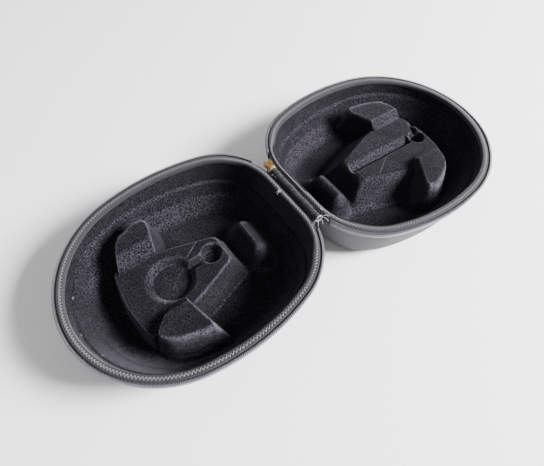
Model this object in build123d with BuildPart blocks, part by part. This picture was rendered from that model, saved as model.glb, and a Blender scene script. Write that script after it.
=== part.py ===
"""Hard headphone carrying case, open flat: two moulded bowls joined by a fabric spine and a zip.

Each half is drawn in its own frame: the mating plane of the zip is z = 0, the hinge line is the
Y axis and the bowl hangs below. The halves are shallower away from the hinge, so each is then
tilted about the hinge line until its flat underside is level. +X is the lid, +Y the zip's start.
"""
import os
from math import cos, radians, sin, tan

from build123d import *

# Rim outline, followed by the seam between the binding and the zip
FLAT_X = 5.2            # the straight hinge side's distance from the hinge line
FLAT_HALF = 22.7        # half of its straight length
FAR_X = 204.8           # the far end's distance from the hinge line
CORNER_RADIUS = 60.0
CORNER_TURN = 72.0      # degrees of the corner arc
SIDE_TURN = 29.0        # degrees of the long side arc

# Bowl
TAPER = 3.52            # tilt of the flat underside from the mating plane, degrees
DEPTH_AT_HINGE = 57.5
WALL_TAPER = 18.5       # degrees
SHOULDER = 10.0         # depth of the upright band under the rim
RIM_DRAFT = 1.0
BOTTOM_ROUND = 20.0
COVER_OUTSET = 0.3      # the cover stands this far outside the seam line
COVER_THICK = 0.8
SHELL_THICK = 3.2
LINER_THICK = 3.2
FLOOR_ABOVE_BOTTOM = 8.0
RIM_TOP = -2.0          # top of the shell and of the liner
LINER_INSET = 5.0       # from the seam line to the lining's face
CREASE_AT_HINGE = 24.0  # depth where the lining's upright band ends
CREASE_STEP = 1.6
LINER_TAPER = 27.0
BAND_TAPER = 12.0       # of the lining above the crease
FLOOR_ROUND = 18.0
CUT_MARGIN = 4.0        # how far a tapered wall runs past the plane that cuts it
CREASE_OVERLAP = 0.01

# Cradle that holds the headphones: a wedge between two wings
PLATE_DEPTH = 18.4      # depth of the wedge's top below the mating plane
WING_DEPTH = 9.2
CRADLE_GLUE = 0.3       # glue line between the cradle and the lining
CRADLE_OUTER = 161.0    # the cradle's outer edge
CRADLE_ARC = 90.0       # radius of that edge
CRADLE_DRAFT = 9.0
PLATE_CORNER = 2.0
WING_CORNER = 4.0
WING_ROUND = 3.0
WEDGE_APEX = 70.0
WEDGE_APEX_HALF = 14.0
WEDGE_ROOT = 115.0
WEDGE_ROOT_HALF = 31.0
WING_INNER_HALF = 25.0
WING_TIP = (111.5, 60.5)
WING_OUTER = (155.0, 40.0)
WING_FOOT = 157.0       # outer end of its inner side
BASE_RECESS = (124.0, 15.0)   # round recess of the base: distance from the hinge line, radius
BASE_KEYHOLE = (86.0, 6.5)
NECK_WIDTH = 5.0
RECESS_DEPTH = 8.0
LID_SLOT = (70.0, 152.5)      # slot of the lid: its two ends
LID_SLOT_WIDTH = 4.5
LID_SLOT_END = 5.5            # radius of the hole at its outer end

# Rib beside the hinge
RIB_AT = 45.0
RIB_LENGTH = 34.0
RIB_WIDTH = 9.0
RIB_DEPTH = 24.0        # depth of its top
RIB_DRAFT = 10.0

# Binding, zip tape, edge band and coil around the rim
BINDING_OUTER = 0.4
BINDING_LIP = 6.0       # the strip that turns down inside starts here
BINDING_INNER = 6.7
BINDING_TOP = -0.7
BINDING_DROP = -4.2
TAPE_THICK = 0.6
FIT_GAP = 0.05          # between the zip tape and the cover
TAPE_TOP = -0.7
TAPE_BOTTOM = -9.0
BAND_THICK = 1.0
BAND_TOP = -3.2
BAND_BOTTOM = -7.2
COIL_THICK = 1.4
COIL_TOP = -0.15
COIL_BOTTOM = -2.9
COIL_NEAR = -40.0       # where the coil starts at the near end of the hinge side
COIL_FAR = 45.0         # and at the zip's start

# Hinge spine
SPINE_RADIUS = 2.9
SPINE_NEAR = -34.5
SPINE_FAR = 26.6
TACK_RADIUS = 3.3
TACK_LENGTH = 1.6
FLAP_THICK = 0.7
FLAP_TOP = -3.2
FLAP_BOTTOM = -9.8

# Zip slider and pull
SLIDER_START = 28.4
SLIDER_LENGTH = 9.2
SLIDER_MOUTH = 7.6      # width at the mouth, away from the spine
SLIDER_TAIL = 5.4
SLIDER_CORNER = 1.0     # cut off the corners of the mouth
SLIDER_NOTCH = 1.5      # depth of the notch between its two lobes
SLIDER_ROUND = 0.3
PLATE_THICK = 1.0
SLIDER_GAP = 2.0        # between the slider's two plates
SLIDER_SIDE = 0.8
DIVIDER = 1.6
DIVIDER_LENGTH = 3.0
BAIL_WIRE = 0.6         # radius
BAIL_SPAN = 5.0
BAIL_REACH = 2.4
PULL_PIN = 0.55         # radius of the bar that hangs in the bail
PULL_PIN_DROP = 1.0     # its centre below the slider's plate
PULL_WIDTH = 5.0
PULL_THICK = 1.1
PULL_SLOT = 4.5         # from the bar's axis to the foot of the slot
PULL_SIDE = 1.0         # width of metal beside the slot
PULL_LENGTH = 13.0
GRIP_START = 10.5       # from the pin to the top of the grip
GRIP_WIDTH = 6.4
GRIP_THICK = 3.0
GRIP_LENGTH = 20.0

HINGE_HEIGHT = DEPTH_AT_HINGE * cos(radians(TAPER))


def arc_step(start_turn, end_turn):
    """Chord of a unit arc whose normal turns from start_turn to end_turn, in degrees."""
    a, b = radians(start_turn), radians(end_turn)
    return cos(b) - cos(a), sin(b) - sin(a)


def side_radii(flat_x, corner_radius, far_x):
    """Radii of the side and end arcs that close the outline at the far end, on the X axis."""
    corner = arc_step(0, CORNER_TURN)
    side = arc_step(CORNER_TURN, CORNER_TURN + SIDE_TURN)
    end = arc_step(CORNER_TURN + SIDE_TURN, 180)
    run = -far_x + flat_x - corner_radius * corner[0]
    rise = -FLAT_HALF - corner_radius * corner[1]
    det = side[0] * end[1] - end[0] * side[1]
    return (run * end[1] - end[0] * rise) / det, (side[0] * rise - run * side[1]) / det


def outline(inset):
    """The rim outline moved inwards: a chain of tangent arcs, mirrored and filled."""
    corner_radius = CORNER_RADIUS - inset
    side_radius, end_radius = side_radii(FLAT_X + inset, corner_radius, FAR_X - inset)
    with BuildSketch(mode=Mode.PRIVATE) as sketch:
        with BuildLine():
            straight = Line((-FLAT_X - inset, 0), (-FLAT_X - inset, FLAT_HALF))
            corner = JernArc(straight @ 1, straight % 1, corner_radius, CORNER_TURN)
            side = JernArc(corner @ 1, corner % 1, side_radius, SIDE_TURN)
            end = JernArc(side @ 1, side % 1, end_radius, 180 - CORNER_TURN - SIDE_TURN)
            Line(end @ 1, straight @ 0)
        make_face()
        mirror(about=Plane.XZ)
    return sketch.sketch


def tilted(depth_at_hinge):
    """Plane at the given depth on the hinge line, parallel to the flat underside."""
    return Plane(origin=(0, 0, -depth_at_hinge), z_dir=(sin(radians(TAPER)), 0, cos(radians(TAPER))))


def bowl_form(inset, bottom_lift):
    """Solid form of a bowl inside the given inset, its underside raised by bottom_lift."""
    with BuildPart() as bowl:
        with BuildSketch(Plane.XY.offset(RIM_TOP)):
            add(outline(inset))
        extrude(amount=-SHOULDER - RIM_TOP, taper=RIM_DRAFT)
        with BuildSketch(Plane.XY.offset(-SHOULDER)):
            add(outline(inset + (SHOULDER + RIM_TOP) * tan(radians(RIM_DRAFT))))
        extrude(amount=SHOULDER - DEPTH_AT_HINGE - CUT_MARGIN, taper=WALL_TAPER)
        split(bisect_by=tilted(DEPTH_AT_HINGE - bottom_lift), keep=Keep.TOP)
        fillet(bowl.faces().sort_by(Axis.Z).first.edges(), BOTTOM_ROUND - bottom_lift)
    return bowl.part


def cavity_form(grow):
    """The space inside the lining, made larger all round by grow."""
    crease = CREASE_AT_HINGE + grow
    crease_inset = LINER_INSET - grow + CREASE_AT_HINGE * tan(radians(BAND_TAPER)) + CREASE_STEP
    rise = CREASE_AT_HINGE * 2 / 3
    with BuildPart() as band:
        with BuildSketch(Plane.XY):
            add(outline(LINER_INSET - grow))
        extrude(amount=-DEPTH_AT_HINGE, taper=BAND_TAPER)
        split(bisect_by=tilted(crease), keep=Keep.TOP)
    with BuildPart() as bowl:
        with BuildSketch(Plane.XY.offset(rise - CREASE_AT_HINGE)):
            add(outline(crease_inset - rise * tan(radians(LINER_TAPER))))
        extrude(amount=-DEPTH_AT_HINGE, taper=LINER_TAPER)
        split(bisect_by=tilted(crease - CREASE_OVERLAP), keep=Keep.BOTTOM)
        split(bisect_by=tilted(DEPTH_AT_HINGE - FLOOR_ABOVE_BOTTOM + grow), keep=Keep.TOP)
        fillet(bowl.faces().sort_by(Axis.Z).first.edges(), FLOOR_ROUND + grow)
    return band.part + bowl.part


def rim_ring(outer, inner, top, bottom):
    """Upright ring around the rim between two insets."""
    with BuildPart() as ring:
        with BuildSketch(Plane.XY.offset(bottom)):
            add(outline(outer))
            add(outline(inner), mode=Mode.SUBTRACT)
        extrude(amount=top - bottom)
    return ring.part


def zip_ring(outer, inner, top, bottom):
    """Ring around the rim that leaves out the hinge side."""
    with BuildPart() as ring:
        add(rim_ring(outer, inner, top, bottom))
        with BuildSketch(Plane.XY.offset(bottom)):
            with Locations((-CORNER_RADIUS / 4, (COIL_FAR + COIL_NEAR) / 2)):
                Rectangle(CORNER_RADIUS / 2, COIL_FAR - COIL_NEAR)
        extrude(amount=top - bottom, mode=Mode.SUBTRACT)
    return ring.part


def drafted(face, depth, draft, corner):
    """Block under a top face at the given depth, widening downwards."""
    with BuildPart() as block:
        with BuildSketch(Plane.XY.offset(-depth)):
            add(face)
        extrude(amount=depth - DEPTH_AT_HINGE, taper=-draft)
        fillet(block.faces().sort_by(Axis.Z).last.edges(), corner)
    return block.part


def wedge_face():
    with BuildSketch(mode=Mode.PRIVATE) as sketch:
        with BuildLine():
            apex = Line((-WEDGE_APEX, 0), (-WEDGE_APEX, WEDGE_APEX_HALF))
            flank = Line(apex @ 1, (-WEDGE_ROOT, WEDGE_ROOT_HALF))
            shoulder = Line(flank @ 1, (-WING_OUTER[0], WEDGE_ROOT_HALF))
            outer = RadiusArc(shoulder @ 1, (-CRADLE_OUTER, 0), -CRADLE_ARC)
            Line(outer @ 1, apex @ 0)
        make_face()
        mirror(about=Plane.XZ)
        fillet(sketch.vertices().group_by(Axis.X)[-1], WEDGE_APEX_HALF / 2)
    return sketch.sketch


def wing_face():
    with BuildSketch(mode=Mode.PRIVATE) as sketch:
        with BuildLine():
            inner = Line((-WEDGE_ROOT, WING_INNER_HALF), (-WING_TIP[0], WING_TIP[1]))
            outer = RadiusArc(inner @ 1, (-WING_OUTER[0], WING_OUTER[1]), -CORNER_RADIUS)
            side = Line(outer @ 1, (-WING_FOOT, WING_INNER_HALF))
            Line(side @ 1, inner @ 0)
        make_face()
        fillet(sketch.vertices(), WING_CORNER)
    return sketch.sketch


def cradle_form():
    """Wedge between two wings, without its recesses."""
    with BuildPart() as cradle:
        add(drafted(wedge_face(), PLATE_DEPTH, CRADLE_DRAFT, PLATE_CORNER))
        wing = drafted(wing_face(), WING_DEPTH, CRADLE_DRAFT, WING_ROUND)
        add(wing)
        add(wing.mirror(Plane.XZ))
        add(inner_space, mode=Mode.INTERSECT)
    return cradle.part


def base_recesses():
    """Round recess that a narrow neck joins to a smaller one."""
    with BuildSketch(Plane.XY.offset(-PLATE_DEPTH - RECESS_DEPTH), mode=Mode.PRIVATE) as sketch:
        with Locations((-BASE_RECESS[0], 0)):
            Circle(BASE_RECESS[1])
        with Locations((-BASE_KEYHOLE[0], 0)):
            Circle(BASE_KEYHOLE[1])
        with Locations((-(BASE_RECESS[0] + BASE_KEYHOLE[0]) / 2, 0)):
            Rectangle(BASE_RECESS[0] - BASE_KEYHOLE[0], NECK_WIDTH)
    return sketch.sketch


def lid_recesses():
    """Narrow slot along the wedge that ends in a round hole."""
    with BuildSketch(Plane.XY.offset(-PLATE_DEPTH - RECESS_DEPTH), mode=Mode.PRIVATE) as sketch:
        with Locations((-(LID_SLOT[0] + LID_SLOT[1]) / 2, 0)):
            SlotOverall(LID_SLOT[1] - LID_SLOT[0], LID_SLOT_WIDTH)
        with Locations((-LID_SLOT[1], 0)):
            Circle(LID_SLOT_END)
    return sketch.sketch


def seated(half, shape):
    """A piece drawn in the base's frame, turned and lifted to where its half stands."""
    if half == "lid":
        return Pos(0, 0, HINGE_HEIGHT) * Rotation(0, TAPER, 0) * shape.mirror(Plane.YZ)
    return Pos(0, 0, HINGE_HEIGHT) * Rotation(0, -TAPER, 0) * shape


def save(name, shape):
    shape.label = name
    export_step(shape, "parts/" + name + ".step")


os.makedirs("parts", exist_ok=True)

cover_inset = -COVER_OUTSET
shell_inset = cover_inset + COVER_THICK
hollow_inset = shell_inset + SHELL_THICK
tape_inner = cover_inset - FIT_GAP
tape_outer = tape_inner - TAPE_THICK

cover_form = bowl_form(cover_inset, 0)
shell_form = bowl_form(shell_inset, COVER_THICK)
hollow_form = bowl_form(hollow_inset, COVER_THICK + SHELL_THICK)
lining_space = cavity_form(0)
inner_space = cavity_form(-CRADLE_GLUE)

with BuildPart() as cover:
    add(cover_form)
    add(shell_form, mode=Mode.SUBTRACT)

with BuildPart() as shell:
    add(shell_form)
    add(hollow_form, mode=Mode.SUBTRACT)

with BuildSketch() as rib_face:
    with Locations((-RIB_AT, 0)):
        SlotOverall(RIB_LENGTH, RIB_WIDTH, rotation=90)

with BuildPart() as liner:
    add(cavity_form(LINER_THICK))
    add(hollow_form, mode=Mode.INTERSECT)
    add(lining_space, mode=Mode.SUBTRACT)
    add(drafted(rib_face.sketch, RIB_DEPTH, RIB_DRAFT, RIB_WIDTH / 4))
    add(hollow_form, mode=Mode.INTERSECT)

with BuildPart() as binding:
    add(rim_ring(BINDING_OUTER, BINDING_INNER, BINDING_TOP, RIM_TOP))
    add(rim_ring(BINDING_LIP, BINDING_INNER, RIM_TOP, BINDING_DROP))

zip_tape = zip_ring(tape_outer, tape_inner, TAPE_TOP, TAPE_BOTTOM)
zip_coil = zip_ring(tape_outer - COIL_THICK, tape_outer, COIL_TOP, COIL_BOTTOM)
edge_band = zip_ring(tape_outer - BAND_THICK, tape_outer, BAND_TOP, BAND_BOTTOM)

with BuildPart() as hinge_flap:
    with BuildSketch(Plane.XY.offset(FLAP_BOTTOM)):
        with Locations((cover_inset - FLAT_X + FLAP_THICK / 2 + 2 * COVER_OUTSET,
                        (SPINE_NEAR + SPINE_FAR) / 2)):
            Rectangle(FLAP_THICK, SPINE_FAR - SPINE_NEAR - 2 * TACK_LENGTH)
    extrude(amount=FLAP_TOP - FLAP_BOTTOM)

recesses = {"base": base_recesses, "lid": lid_recesses}
for half in recesses:
    with BuildPart() as cradle:
        add(cradle_form())
        add(recesses[half]())
        extrude(amount=DEPTH_AT_HINGE, mode=Mode.SUBTRACT)
    pieces = {
        "cover": cover.part, "shell": shell.part, "liner": liner.part, "cradle": cradle.part,
        "binding": binding.part, "zip_tape": zip_tape, "zip_coil": zip_coil,
        "edge_band": edge_band, "hinge_flap": hinge_flap.part,
    }
    for name, shape in pieces.items():
        save(half + "_" + name, seated(half, shape))

# The spine, its tacks and the slider are drawn about the hinge line and lifted to its height.
with BuildPart() as spine:
    with BuildSketch(Plane.XZ.offset(-SPINE_FAR)):
        Circle(SPINE_RADIUS)
    extrude(amount=SPINE_FAR - SPINE_NEAR)

tack_starts = {"near": SPINE_NEAR - TACK_LENGTH, "far": SPINE_FAR}
tacks = {}
for end, start in tack_starts.items():
    with BuildPart() as tack:
        with BuildSketch(Plane.XZ.offset(-start - TACK_LENGTH)):
            Circle(TACK_RADIUS)
        extrude(amount=TACK_LENGTH)
        fillet(tack.edges(), TACK_LENGTH / 4)
    tacks[end] = tack.part

slider_end = SLIDER_START + SLIDER_LENGTH
half_gap = SLIDER_GAP / 2
outer_face = half_gap + PLATE_THICK
bail_middle = SLIDER_START + SLIDER_LENGTH / 2

with BuildSketch() as slider_plate:
    with BuildLine():
        Polyline(
            (0, SLIDER_START),
            (SLIDER_TAIL / 2, SLIDER_START),
            (SLIDER_TAIL / 2, SLIDER_START + SLIDER_LENGTH / 4),
            (SLIDER_MOUTH / 2, slider_end - SLIDER_LENGTH / 3),
            (SLIDER_MOUTH / 2, slider_end - SLIDER_CORNER),
            (SLIDER_MOUTH / 2 - SLIDER_CORNER, slider_end),
            (DIVIDER / 2, slider_end - SLIDER_NOTCH),
            (0, slider_end - SLIDER_NOTCH),
            (0, SLIDER_START),
        )
    make_face()
    mirror(about=Plane.YZ)

with BuildPart() as slider_body:
    for level in (half_gap, -outer_face):
        with BuildSketch(Plane.XY.offset(level)):
            add(slider_plate.sketch)
        extrude(amount=PLATE_THICK)
    fillet(slider_body.edges().filter_by(Axis.Z), SLIDER_ROUND)
    with BuildSketch(Plane.XY.offset(-half_gap)):
        with Locations((0, slider_end - DIVIDER_LENGTH)):
            SlotOverall(DIVIDER_LENGTH, DIVIDER, rotation=90)
        for side in (-1, 1):
            with Locations((side * (SLIDER_TAIL - SLIDER_SIDE) / 2, SLIDER_START + SLIDER_LENGTH / 8)):
                Rectangle(SLIDER_SIDE, SLIDER_LENGTH / 4)
    extrude(amount=SLIDER_GAP)
    with BuildLine() as bail_line:
        FilletPolyline(
            (0, bail_middle - BAIL_SPAN / 2, -half_gap - PLATE_THICK / 2),
            (0, bail_middle - BAIL_SPAN / 2, -outer_face - BAIL_REACH),
            (0, bail_middle + BAIL_SPAN / 2, -outer_face - BAIL_REACH),
            (0, bail_middle + BAIL_SPAN / 2, -half_gap - PLATE_THICK / 2),
            radius=2 * BAIL_WIRE,
        )
    with BuildSketch(Plane(origin=bail_line.line @ 0, z_dir=bail_line.line % 0)):
        Circle(BAIL_WIRE)
    sweep(path=bail_line.line)

pin_height = -outer_face - PULL_PIN_DROP
with BuildPart() as pull_tab:
    with BuildSketch(Plane.XZ.offset(-bail_middle - PULL_THICK / 2)):
        with Locations((0, pin_height - PULL_LENGTH / 2)):
            Rectangle(PULL_WIDTH, PULL_LENGTH)
        with Locations((0, pin_height - PULL_SLOT / 2)):
            Rectangle(PULL_WIDTH - 2 * PULL_SIDE, PULL_SLOT, mode=Mode.SUBTRACT)
    extrude(amount=PULL_THICK)
    with BuildSketch(Plane.YZ.offset(-PULL_WIDTH / 2)):
        with Locations((bail_middle, pin_height)):
            Circle(PULL_PIN)
    extrude(amount=PULL_WIDTH)

grip_middle = pin_height - GRIP_START - GRIP_LENGTH / 2
with BuildPart() as pull_grip:
    with BuildSketch(Plane.XZ.offset(-bail_middle - GRIP_THICK / 2)):
        with Locations((0, grip_middle)):
            RectangleRounded(GRIP_WIDTH, GRIP_LENGTH, GRIP_WIDTH / 3)
    extrude(amount=GRIP_THICK)
    fillet(pull_grip.faces().filter_by(Axis.Y).edges(), GRIP_THICK / 4)
    add(pull_tab.part, mode=Mode.SUBTRACT)

on_spine = {
    "hinge_spine": spine.part, "spine_tack_near": tacks["near"], "spine_tack_far": tacks["far"],
    "slider_body": slider_body.part, "pull_tab": pull_tab.part, "pull_grip": pull_grip.part,
}
for name, shape in on_spine.items():
    save(name, Pos(0, 0, HINGE_HEIGHT) * shape)
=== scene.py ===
"""Headphone carrying case: velour, woven cover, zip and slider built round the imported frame.

Each half is drawn in its base frame, in metres: the mating plane of the zip is z = 0, the hinge
line is the Y axis and the bowl hangs below it at negative X. seated() then tilts the half level,
mirrors it for the lid and lifts it to the hinge's height.
"""
import math

import bmesh
import bpy
import numpy as np
from bpy.props import FloatProperty, FloatVectorProperty, IntProperty, PointerProperty
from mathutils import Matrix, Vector


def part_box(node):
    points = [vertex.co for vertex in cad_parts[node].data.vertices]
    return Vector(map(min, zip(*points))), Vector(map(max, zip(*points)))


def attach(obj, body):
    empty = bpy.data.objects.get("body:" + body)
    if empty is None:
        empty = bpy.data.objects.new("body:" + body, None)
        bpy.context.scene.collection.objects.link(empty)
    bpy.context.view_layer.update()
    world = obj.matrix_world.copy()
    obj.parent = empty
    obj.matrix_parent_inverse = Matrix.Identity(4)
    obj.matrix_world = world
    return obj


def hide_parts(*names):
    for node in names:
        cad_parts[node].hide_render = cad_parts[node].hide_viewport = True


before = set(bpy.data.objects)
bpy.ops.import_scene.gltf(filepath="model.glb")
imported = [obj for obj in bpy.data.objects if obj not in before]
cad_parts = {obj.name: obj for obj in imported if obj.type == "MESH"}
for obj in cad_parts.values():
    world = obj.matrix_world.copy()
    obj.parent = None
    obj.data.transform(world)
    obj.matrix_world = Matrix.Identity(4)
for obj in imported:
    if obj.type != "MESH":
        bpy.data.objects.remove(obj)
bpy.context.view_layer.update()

bl_info = {
    "name": "Headphone case",
    "version": (1, 0, 0),
    "blender": (4, 5, 0),
    "location": "3D View > Sidebar > Headphone case",
    "description": "Builds the soft and sewn pieces of a hard headphone case round its frame",
    "category": "Add Mesh",
}

HALVES = ("base", "lid")
SPINE_LOW, SPINE_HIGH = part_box("hinge_spine")
HINGE_Z = (SPINE_LOW.z + SPINE_HIGH.z) / 2
SPINE_RADIUS = (SPINE_HIGH.z - SPINE_LOW.z) / 2
SPINE_SHIFT = -0.0005
# Keeps the bindings and their threads below the plane where the halves meet
RIBBON_DROP = 0.0003
SLIDER_LOW, SLIDER_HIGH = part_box("slider_body")
TAB_LOW, TAB_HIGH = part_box("pull_tab")
GRIP_LOW, GRIP_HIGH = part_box("pull_grip")


def length(name, description, default):
    return FloatProperty(name=name, description=description, default=default, unit="LENGTH")


def angle(name, description, degrees):
    return FloatProperty(name=name, description=description, default=math.radians(degrees),
                         subtype="ANGLE")


def colour(name, description, default):
    return FloatVectorProperty(name=name, description=description, default=default, size=4,
                               subtype="COLOR", min=0, max=1)


class RimSizes(bpy.types.PropertyGroup):
    """Outline of the rim and the bands sewn along it."""
    flat_side: length("Hinge side", "Distance of the straight side from the hinge line", 0.0052)
    flat_half: length("Half of the straight side", "Half of the straight side's length", 0.0227)
    far_end: length("Far end", "Distance of the far end from the hinge line", 0.2048)
    corner_radius: length("Corner radius", "Radius of the arcs beside the hinge side", 0.060)
    corner_turn: angle("Corner turn", "Turn of each corner arc", 72.0)
    side_turn: angle("Side turn", "Turn of each long side arc", 29.0)
    step: length("Step", "Distance between the columns of a band's mesh", 0.0011)
    zip_first: length("Zip start", "Walk from the middle of the hinge side to the coil", 0.0465)
    zip_last: length("Zip end", "Walk back from the middle of the hinge side to the coil", 0.0415)
    coil_pitch: length("Coil pitch", "Distance between two turns of the coil", 0.00138)
    stitch_pitch: length("Stitch pitch", "Length of one zigzag stitch", 0.0028)
    thread: length("Thread", "Radius of the binding's thread", 0.00030)
    binding_outer: length("Binding outer edge", "Inset of the binding's outer edge", 0.0004)
    binding_inner: length("Binding inner edge", "Inset of the binding's inner edge", 0.0060)
    hinge_base: length("Hinge binding, base", "The same at the base's hinge side", 0.0047)
    hinge_lid: length("Hinge binding, lid", "The same at the lid's hinge side", 0.0030)


class BowlSizes(bpy.types.PropertyGroup):
    """Depth and form of a bowl, its cover and its lining."""
    tilt: angle("Tilt", "Slope of the flat underside against the rim", 3.52)
    depth: length("Depth", "Depth of the bowl on the hinge line", 0.0575)
    shoulder: length("Shoulder", "Depth of the upright band under the rim", 0.010)
    wall_taper: angle("Wall taper", "Lean of the outer wall", 18.5)
    bottom_round: length("Bottom round", "Radius between wall and underside", 0.020)
    crease: length("Crease", "Depth of the lining's crease on the hinge line", 0.024)
    band_taper: angle("Band taper", "Lean of the lining above the crease", 12.0)
    lining_taper: angle("Lining taper", "Lean of the lining below the crease", 27.0)
    crease_step: length("Crease step", "Step inwards at the crease", 0.0019)
    floor_gap: length("Floor", "Height of the lining's floor above the underside", 0.008)
    floor_round: length("Floor round", "Radius between the lining's wall and floor", 0.020)


class CradleSizes(bpy.types.PropertyGroup):
    """The wedge, its wings and the rib. Distances are from the hinge line and the middle."""
    wedge_depth: length("Wedge depth", "Depth of the wedge's top", 0.0184)
    wing_depth: length("Wing depth", "Depth of the wings' tops", 0.0090)
    apex: length("Apex", "Distance of the wedge's tip", 0.0715)
    apex_half: length("Apex half width", "Half width of the wedge's tip", 0.0130)
    root: length("Root", "Distance of the wedge's widest point", 0.1145)
    root_half: length("Root half width", "Half of the wedge's greatest width", 0.0290)
    side_lean: FloatProperty(name="Side lean", description="Sideways run of a wall per depth",
                             default=0.17)
    rib_at: length("Rib", "Distance of the rib beside the hinge", 0.046)
    rib_half: length("Rib half length", "Half of the rib's length", 0.0120)
    rib_depth: length("Rib depth", "Depth of the rib's top", 0.0235)
    recess_depth: length("Recess depth", "Depth of the recesses in the wedge", 0.0068)
    columns: IntProperty(name="Columns", description="Mesh columns round the lining", default=620)
    rows: IntProperty(name="Rows", description="Mesh rows across the lining's floor", default=100)


class CaseColours(bpy.types.PropertyGroup):
    """Colours of the case's cloths and fittings."""
    velour: colour("Velour", "Nap of the lining", (0.0028, 0.0024, 0.0034, 1))
    velour_pale: colour("Velour, pale", "Pile that catches the light", (0.0235, 0.0212, 0.0276, 1))
    cover: colour("Cover", "Threads of the cover", (0.041, 0.0398, 0.0505, 1))
    cover_dark: colour("Cover, dark", "Gaps between the threads", (0.0035, 0.0033, 0.0048, 1))
    binding: colour("Binding", "Ribbed binding", (0.026, 0.0252, 0.031, 1))
    thread: colour("Thread", "Sewing thread", (0.215, 0.209, 0.240, 1))
    coil: colour("Coil", "Nylon coil", (0.036, 0.035, 0.043, 1))
    tape: colour("Tape", "Zip tape", (0.012, 0.012, 0.015, 1))
    band: colour("Edge band", "Smooth band under the coil", (0.185, 0.181, 0.212, 1))
    spine: colour("Spine", "Hinge cloth", (0.046, 0.044, 0.054, 1))
    tack: colour("Tack", "Thread wound at the spine's ends", (0.330, 0.330, 0.350, 1))
    brass: colour("Brass", "Slider and pull tab", (0.640, 0.385, 0.165, 1))
    foam: colour("Foam", "Moulded foam of the shell", (0.020, 0.020, 0.023, 1))
    grip: colour("Grip", "Soft grip of the pull", (0.022, 0.022, 0.025, 1))
    floor: colour("Floor", "Table top", (0.96, 0.96, 0.96, 1))


# Geometry of the rim

class Rim:
    """The rim outline: a straight hinge side and three tangent arcs, mirrored across the X axis.

    A place on it is the distance walked from the middle of the hinge side, first towards +Y.
    """

    def __init__(self, sizes):
        turns = np.cumsum([0, sizes.corner_turn, sizes.side_turn])
        turns = np.append(turns, math.pi)
        heads = np.stack([np.cos(turns), np.sin(turns)], 1)
        chords = np.diff(heads, axis=0)
        start = np.array([-sizes.flat_side, sizes.flat_half])
        gap = np.array([-sizes.far_end, 0]) - start - sizes.corner_radius * chords[0]
        side, end = np.linalg.solve(chords[1:].T, gap)
        self.radii = np.array([sizes.corner_radius, side, end])
        corner = start - sizes.corner_radius * heads[0]
        second = corner + (self.radii[0] - side) * heads[1]
        third = second + (side - end) * heads[2]
        self.centres = np.array([corner, second, third])
        walks = np.append([sizes.flat_half], self.radii * np.diff(turns))
        self.knots = np.append([0], np.cumsum(walks))
        self.turns = np.append([0], turns)
        self.flat_side = sizes.flat_side
        self.length = 2 * self.knots[-1]

    def at(self, walk, inset=0.0):
        """Points at the given walks, moved inwards, and the inward directions there."""
        walk = np.mod(walk, self.length)
        near = walk > self.length / 2
        half_walk = np.where(near, self.length - walk, walk)
        turn = np.interp(half_walk, self.knots, self.turns)
        arc = np.clip(np.searchsorted(self.knots[2:-1], half_walk), 0, 2)
        out = np.stack([np.cos(turn), np.sin(turn)], 1)
        points = self.centres[arc] + self.radii[arc][:, None] * out
        straight = half_walk < self.knots[1]
        points[straight, 0] = -self.flat_side
        points[straight, 1] = half_walk[straight]
        side = np.where(near, -1.0, 1.0)
        points[:, 1] *= side
        inward = -out
        inward[:, 1] *= side
        return points + inward * np.asarray(inset).reshape(-1, 1), inward

    def points(self, walk, inset=0.0):
        return self.at(walk, inset)[0]


def seated(half, points):
    """Points drawn in the base frame, brought to where their half stands."""
    tilt = bpy.context.scene.case_bowl.tilt
    points = np.asarray(points, float)
    x, y, z = points[..., 0], points[..., 1], points[..., 2]
    level_x = x * math.cos(tilt) - z * math.sin(tilt)
    level_z = x * math.sin(tilt) + z * math.cos(tilt)
    if half == "lid":
        level_x = -level_x
    return np.stack([level_x, y, level_z + HINGE_Z], -1)


def rim_walks(rim, step, first=0.0, last=0.0):
    """Evenly spaced walks from first to last, which is counted back from the full round."""
    span = rim.length - first - last
    count = max(8, int(round(span / step)))
    return first + np.linspace(0, span, count + 1)


def rim_line(half, rim, walk, inset, height):
    """Points along the rim at the given insets and heights, brought to where their half stands."""
    return seated(half, np.column_stack([rim.points(walk, inset), height]))


def rounded_path(corners, radii, straight_counts, arc_count):
    """Rows along a path whose inner corners are rounded, for many columns at once.

    corners is a list of (columns, 2) arrays, and radii has a value for each inner corner.
    """
    rows = []
    last = corners[0]
    for index, radius in enumerate(radii):
        corner, following = corners[index + 1], corners[index + 2]
        come = corner - corners[index]
        come /= np.linalg.norm(come, axis=1, keepdims=True)
        leave = following - corner
        leave /= np.linalg.norm(leave, axis=1, keepdims=True)
        turn = np.arccos(np.clip((come * leave).sum(1), -1, 1))
        reach = (radius * np.tan(turn / 2))[:, None]
        begin, finish = corner - come * reach, corner + leave * reach
        for t in np.linspace(0, 1, straight_counts[index], endpoint=False):
            rows.append(last * (1 - t) + begin * t)
        weight = np.cos(turn / 2)[:, None]
        for t in np.linspace(0, 1, arc_count, endpoint=False):
            a, b, c = (1 - t) ** 2, 2 * t * (1 - t) * weight, t ** 2
            rows.append((a * begin + b * corner + c * finish) / (a + b + c))
        last = finish
    for t in np.linspace(0, 1, straight_counts[-1]):
        rows.append(last * (1 - t) + corners[-1] * t)
    return np.array(rows)


# Meshes

def link(name, mesh, material):
    piece = bpy.data.objects.new(name, mesh)
    bpy.context.scene.collection.objects.link(piece)
    mesh.materials.append(material)
    return piece


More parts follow.
